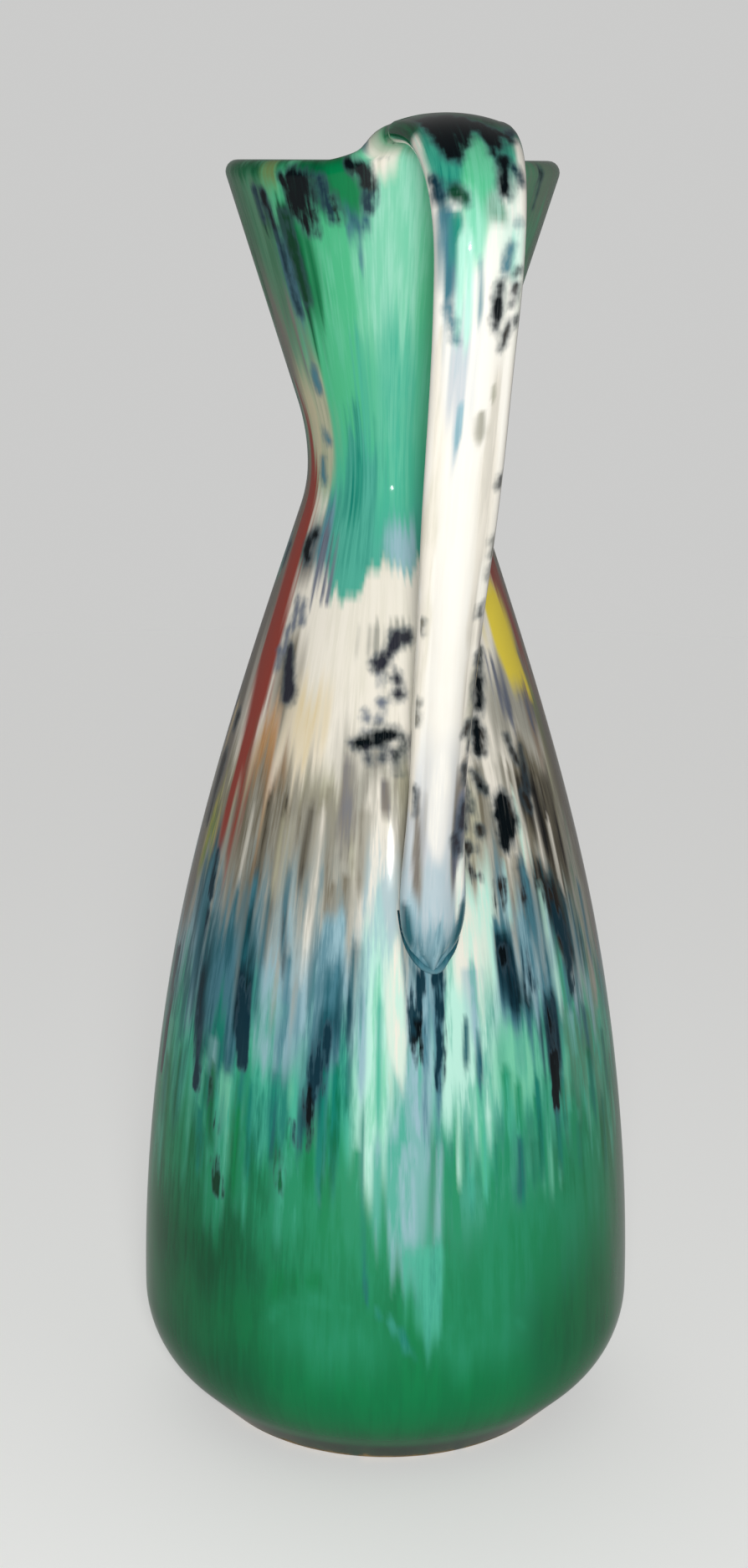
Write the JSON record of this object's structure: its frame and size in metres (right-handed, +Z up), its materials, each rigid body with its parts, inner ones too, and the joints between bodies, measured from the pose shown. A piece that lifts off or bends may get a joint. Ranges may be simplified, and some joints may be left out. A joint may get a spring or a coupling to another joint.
{
  "type": "ceramic bud vase with strap handle",
  "caption": "Waisted drip-glazed bud vase with a flared mouth, whose lip rises into a long strap handle that lands on the belly.",
  "frame": {"origin": "on the vase's axis, in the plane that its foot stands on", "axes": "+Z up along the vase's axis; the handle stands on the -Y side; X runs across the handle"},
  "size_m": [0.0856, 0.1053, 0.2201],
  "materials": {
    "glazed_clay_body": "gloss drip glaze, green over cream with slate and near-black runs",
    "glazed_clay_strap": "gloss glaze, cream with green, slate and near-black runs at the crest",
    "slip": "slip under pooled gloss glaze"
  },
  "bodies": {
    "root": {"vase_body": "glazed_clay_body", "strap_handle": "glazed_clay_strap", "upper_slip_joint": "slip", "lower_slip_joint": "slip"}
  },
  "joints": []
}
